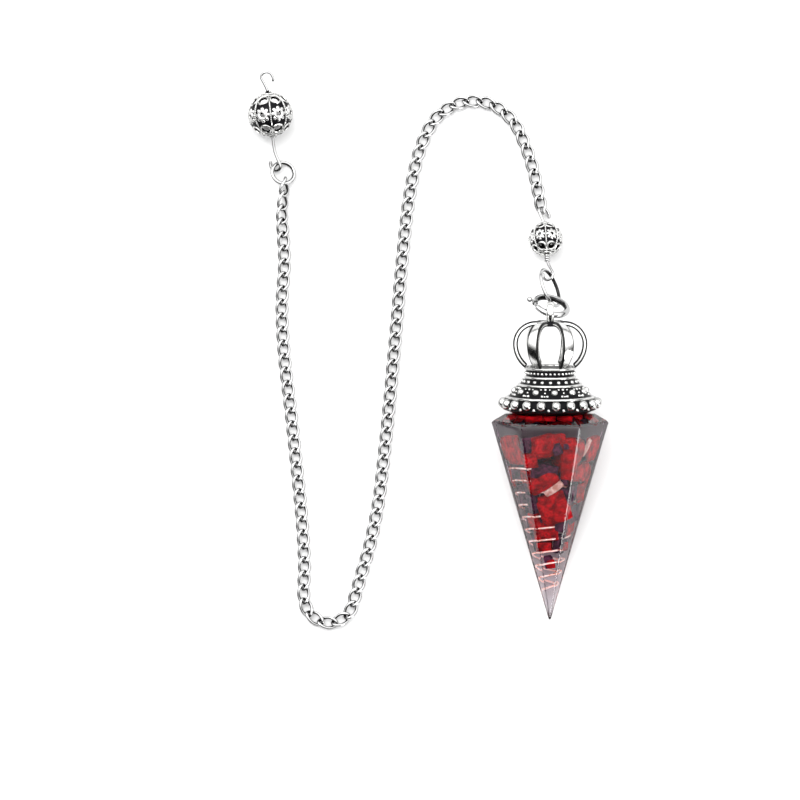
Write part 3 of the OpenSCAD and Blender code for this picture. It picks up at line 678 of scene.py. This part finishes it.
# Each hoop round a pole: its radius as a share of the bead's, and its wire's radius.
POLE_HOOPS = ((0.34, 0.2), (0.5, 0.15))
POLE_SINK = 0.02
COLLAR_R = 0.52
COLLAR_H = 0.25
COLLAR_WIRE_R = 0.2
# Each bead: its width, its middle, its tilt and yaw, and the widths of its small and big holes.
BEADS = {
    "finial_bead": (FINIAL_D, FINIAL_AT, 10, -84, 1.1, 1.9),
    "spacer_bead": (SPACER_D, SPACER_AT, 12, SPACER_YAW, 0.8, 1.5),
}


def pierced_shell(r, ways):
    """A hollow ball with a bore along the z axis and a hole at each of the ways."""
    bm = bmesh.new()
    bmesh.ops.create_uvsphere(bm, u_segments=128, v_segments=64, radius=r - SHELL_SINK)
    for way, hole_r in ways:
        axis = way.to_3x3() @ Vector((0, 0, 1))
        reach = cos(asin(hole_r / r))
        bmesh.ops.delete(bm, context="FACES", geom=[
            f for f in bm.faces if f.calc_center_median().normalized().dot(axis) > reach])
    bmesh.ops.delete(bm, context="FACES", geom=[
        f for f in bm.faces if hypot(*f.calc_center_median().xy) < BORE_R])
    bmesh.ops.solidify(bm, geom=bm.faces[:], thickness=SHELL_T)
    bmesh.ops.recalc_face_normals(bm, faces=bm.faces)
    for face in bm.faces:
        face.material_index = 1
    return bm


def openwork(r, small, big):
    """A hollow bead round the z axis: a pierced shell, with flowers, hoops, seams and grains."""
    ways = [(turn @ Matrix.Rotation(radians(90 - row), 4, "Y"), width / 2)
            for row, width in ((0, small), (HOLE_ROW, big), (-HOLE_ROW, big))
            for turn in around(HOLES, 0.5)]
    bm = pierced_shell(r, ways)
    for way, hole_r in ways:
        seat = sqrt(r ** 2 - hole_r ** 2) - HOOP_SINK
        stamp(bm, hoop(Vector((hole_r + HOOP_OUT, 0, seat)), HOOP_R, sides=8, steps=28), way)
    for way, hole_r in ways[:HOLES]:
        ring = Vector((hole_r + FLOWER_OUT * r, 0, FLOWER_H * r))
        stamp(bm, hoop(ring, FLOWER_R * r, sides=12, steps=32), way)
        stamp(bm, grain(PETAL_R * r), *[
            way @ turn @ Matrix.Rotation(PETAL_TILT, 4, "Y")
            @ Matrix.Translation((0, 0, r - PETAL_SINK)) @ Matrix.Diagonal(PETAL_FORM)
            for turn in around(PETALS)])
    stamp(bm, hoop(Vector((r - SEAM_SINK, 0, 0)), SEAM_R, sides=8), *[
        turn @ Matrix.Rotation(pi / 2, 4, "X") for turn in around(HOLES)[:HOLES // 2]])
    stamp(bm, grain(GRAIN_R), *[
        turn @ Matrix.Rotation(-step * GRAIN_PITCH * GRAIN_R / r, 4, "Y")
        @ Matrix.Translation((r, 0, 0)) for turn in around(HOLES) for step in GRAINS])
    for side in (-1, 1):
        for share, wire_r in POLE_HOOPS:
            pole = side * (sqrt(1 - share ** 2) * r - POLE_SINK)
            stamp(bm, hoop(Vector((share * r, 0, pole)), wire_r, sides=10), Matrix())
        collar = Vector((COLLAR_R, 0, side * (r + COLLAR_H / 2)))
        stamp(bm, hoop(collar, COLLAR_WIRE_R, sides=12, steps=48), Matrix())
    return bm


for node, (width, middle, tilt, yaw, small, big) in BEADS.items():
    bm = openwork(width / 2, small, big)
    seat = (Matrix.Translation(middle) @ Matrix.Rotation(radians(yaw), 4, "Z")
            @ Matrix.Rotation(radians(tilt + 90), 4, "Y"))
    bmesh.ops.transform(bm, matrix=seat, verts=bm.verts)
    finished("openwork_" + node, bm, [plated, patina_and_painted_shade], [node])

# Chain. A curb chain of plated wire. Its links are twisted so that they lie flat, soldered, and
# buffed, with painted shade on the insides of the links.

CHAIN_GROW = 0.14

bm = rounded("chain", CHAIN_GROW)
mark_inward(bm)
subdivided(finished("curb_chain", bm, [painted_shade_inside("buffed_chain_painted_shade", 0.46, 0.68)],
                    ["chain"], sharp=180))

# Studio. A plain pale floor, a dome of soft white light and a camera that looks down on the
# pendulum. The dome is dark towards the tip, so that the upper facet has no veil, and a small lamp
# low beside the cone picks out its edge.

# The frame in pixels, the millimetres to a pixel, and the point in the middle of the frame.
FRAME = 800
PER_PIXEL = 0.2
VIEW = Vector((-29.84, 18.26, 0))
ELEVATION = 81
SENSOR = 36
FLOOR_DROP = 0.05
PAPER = (0.62, 0.62, 0.62, 1)
# In metres, how far off the camera is and how wide the floor is.
DISTANCE = 2
FLOOR_W = 3
# Each lamp: its place in metres, its width and its power.
LAMPS = {"key": ((-0.35, 0.35, 0.8), 0.4, 4), "glint": ((0.74, -0.59, 0.19), 0.4, 5)}
SKY_TOWARDS = (0.05, 0.6, 0.8)
# Each part of the sky: the share at which it is dark, the share at which it is full, its strength.
SKY_DOME = (0.1, 0.5, 3)
SKY_HORIZON = (0.06, 0.32, 1)

paper = Finish("pale_paper", Base_Color=PAPER, Roughness=0.9)
bm = bmesh.new()
bmesh.ops.create_grid(bm, x_segments=1, y_segments=1, size=FLOOR_W / 2)
bmesh.ops.translate(bm, vec=(0, 0, -FLOOR_DROP * MM), verts=bm.verts)
mesh = bpy.data.meshes.new("floor")
bm.to_mesh(mesh)
bm.free()
mesh.materials.append(paper.material)
floor = bpy.data.objects.new("floor", mesh)
bpy.context.scene.collection.objects.link(floor)

target = VIEW * MM
for name, (place, width, power) in LAMPS.items():
    lamp = bpy.data.lights.new(name, "AREA")
    lamp.size = width
    lamp.energy = power
    light = bpy.data.objects.new(name, lamp)
    light.location = place
    light.rotation_euler = (target - light.location).to_track_quat("-Z", "Y").to_euler()
    bpy.context.scene.collection.objects.link(light)

world = bpy.data.worlds.new("studio")
sky = Nodes(world)
way = sky.node("ShaderNodeTexCoord", output="Generated")
above = sky.node("ShaderNodeSeparateXYZ", inputs={0: way}, output="Z")
towards = sky.node("ShaderNodeVectorMath", {"operation": "DOT_PRODUCT"}, {0: way, 1: SKY_TOWARDS},
                   output="Value")
dome, horizon = [
    sky.node("ShaderNodeMapRange", inputs={
        "Value": value, "From Min": dark, "From Max": full, "To Max": strength})
    for value, (dark, full, strength) in ((towards, SKY_DOME), (above, SKY_HORIZON))]
background = sky.tree.nodes["Background"].inputs
sky.feed(background["Color"], (1, 1, 1, 1))
sky.feed(background["Strength"], dome * horizon)
bpy.context.scene.world = world

lens = bpy.data.cameras.new("camera")
lens.sensor_width = SENSOR
lens.lens = SENSOR * DISTANCE / (FRAME * PER_PIXEL * MM)
lens.clip_start = 0.1
lens.clip_end = 10
camera = bpy.data.objects.new("camera", lens)
tilt = radians(90 - ELEVATION)
camera.rotation_euler = (tilt, 0, 0)
camera.location = target + DISTANCE * Vector((0, -sin(tilt), cos(tilt)))
bpy.context.scene.collection.objects.link(camera)
bpy.context.scene.camera = camera
bpy.context.scene.view_settings.view_transform = "Standard"
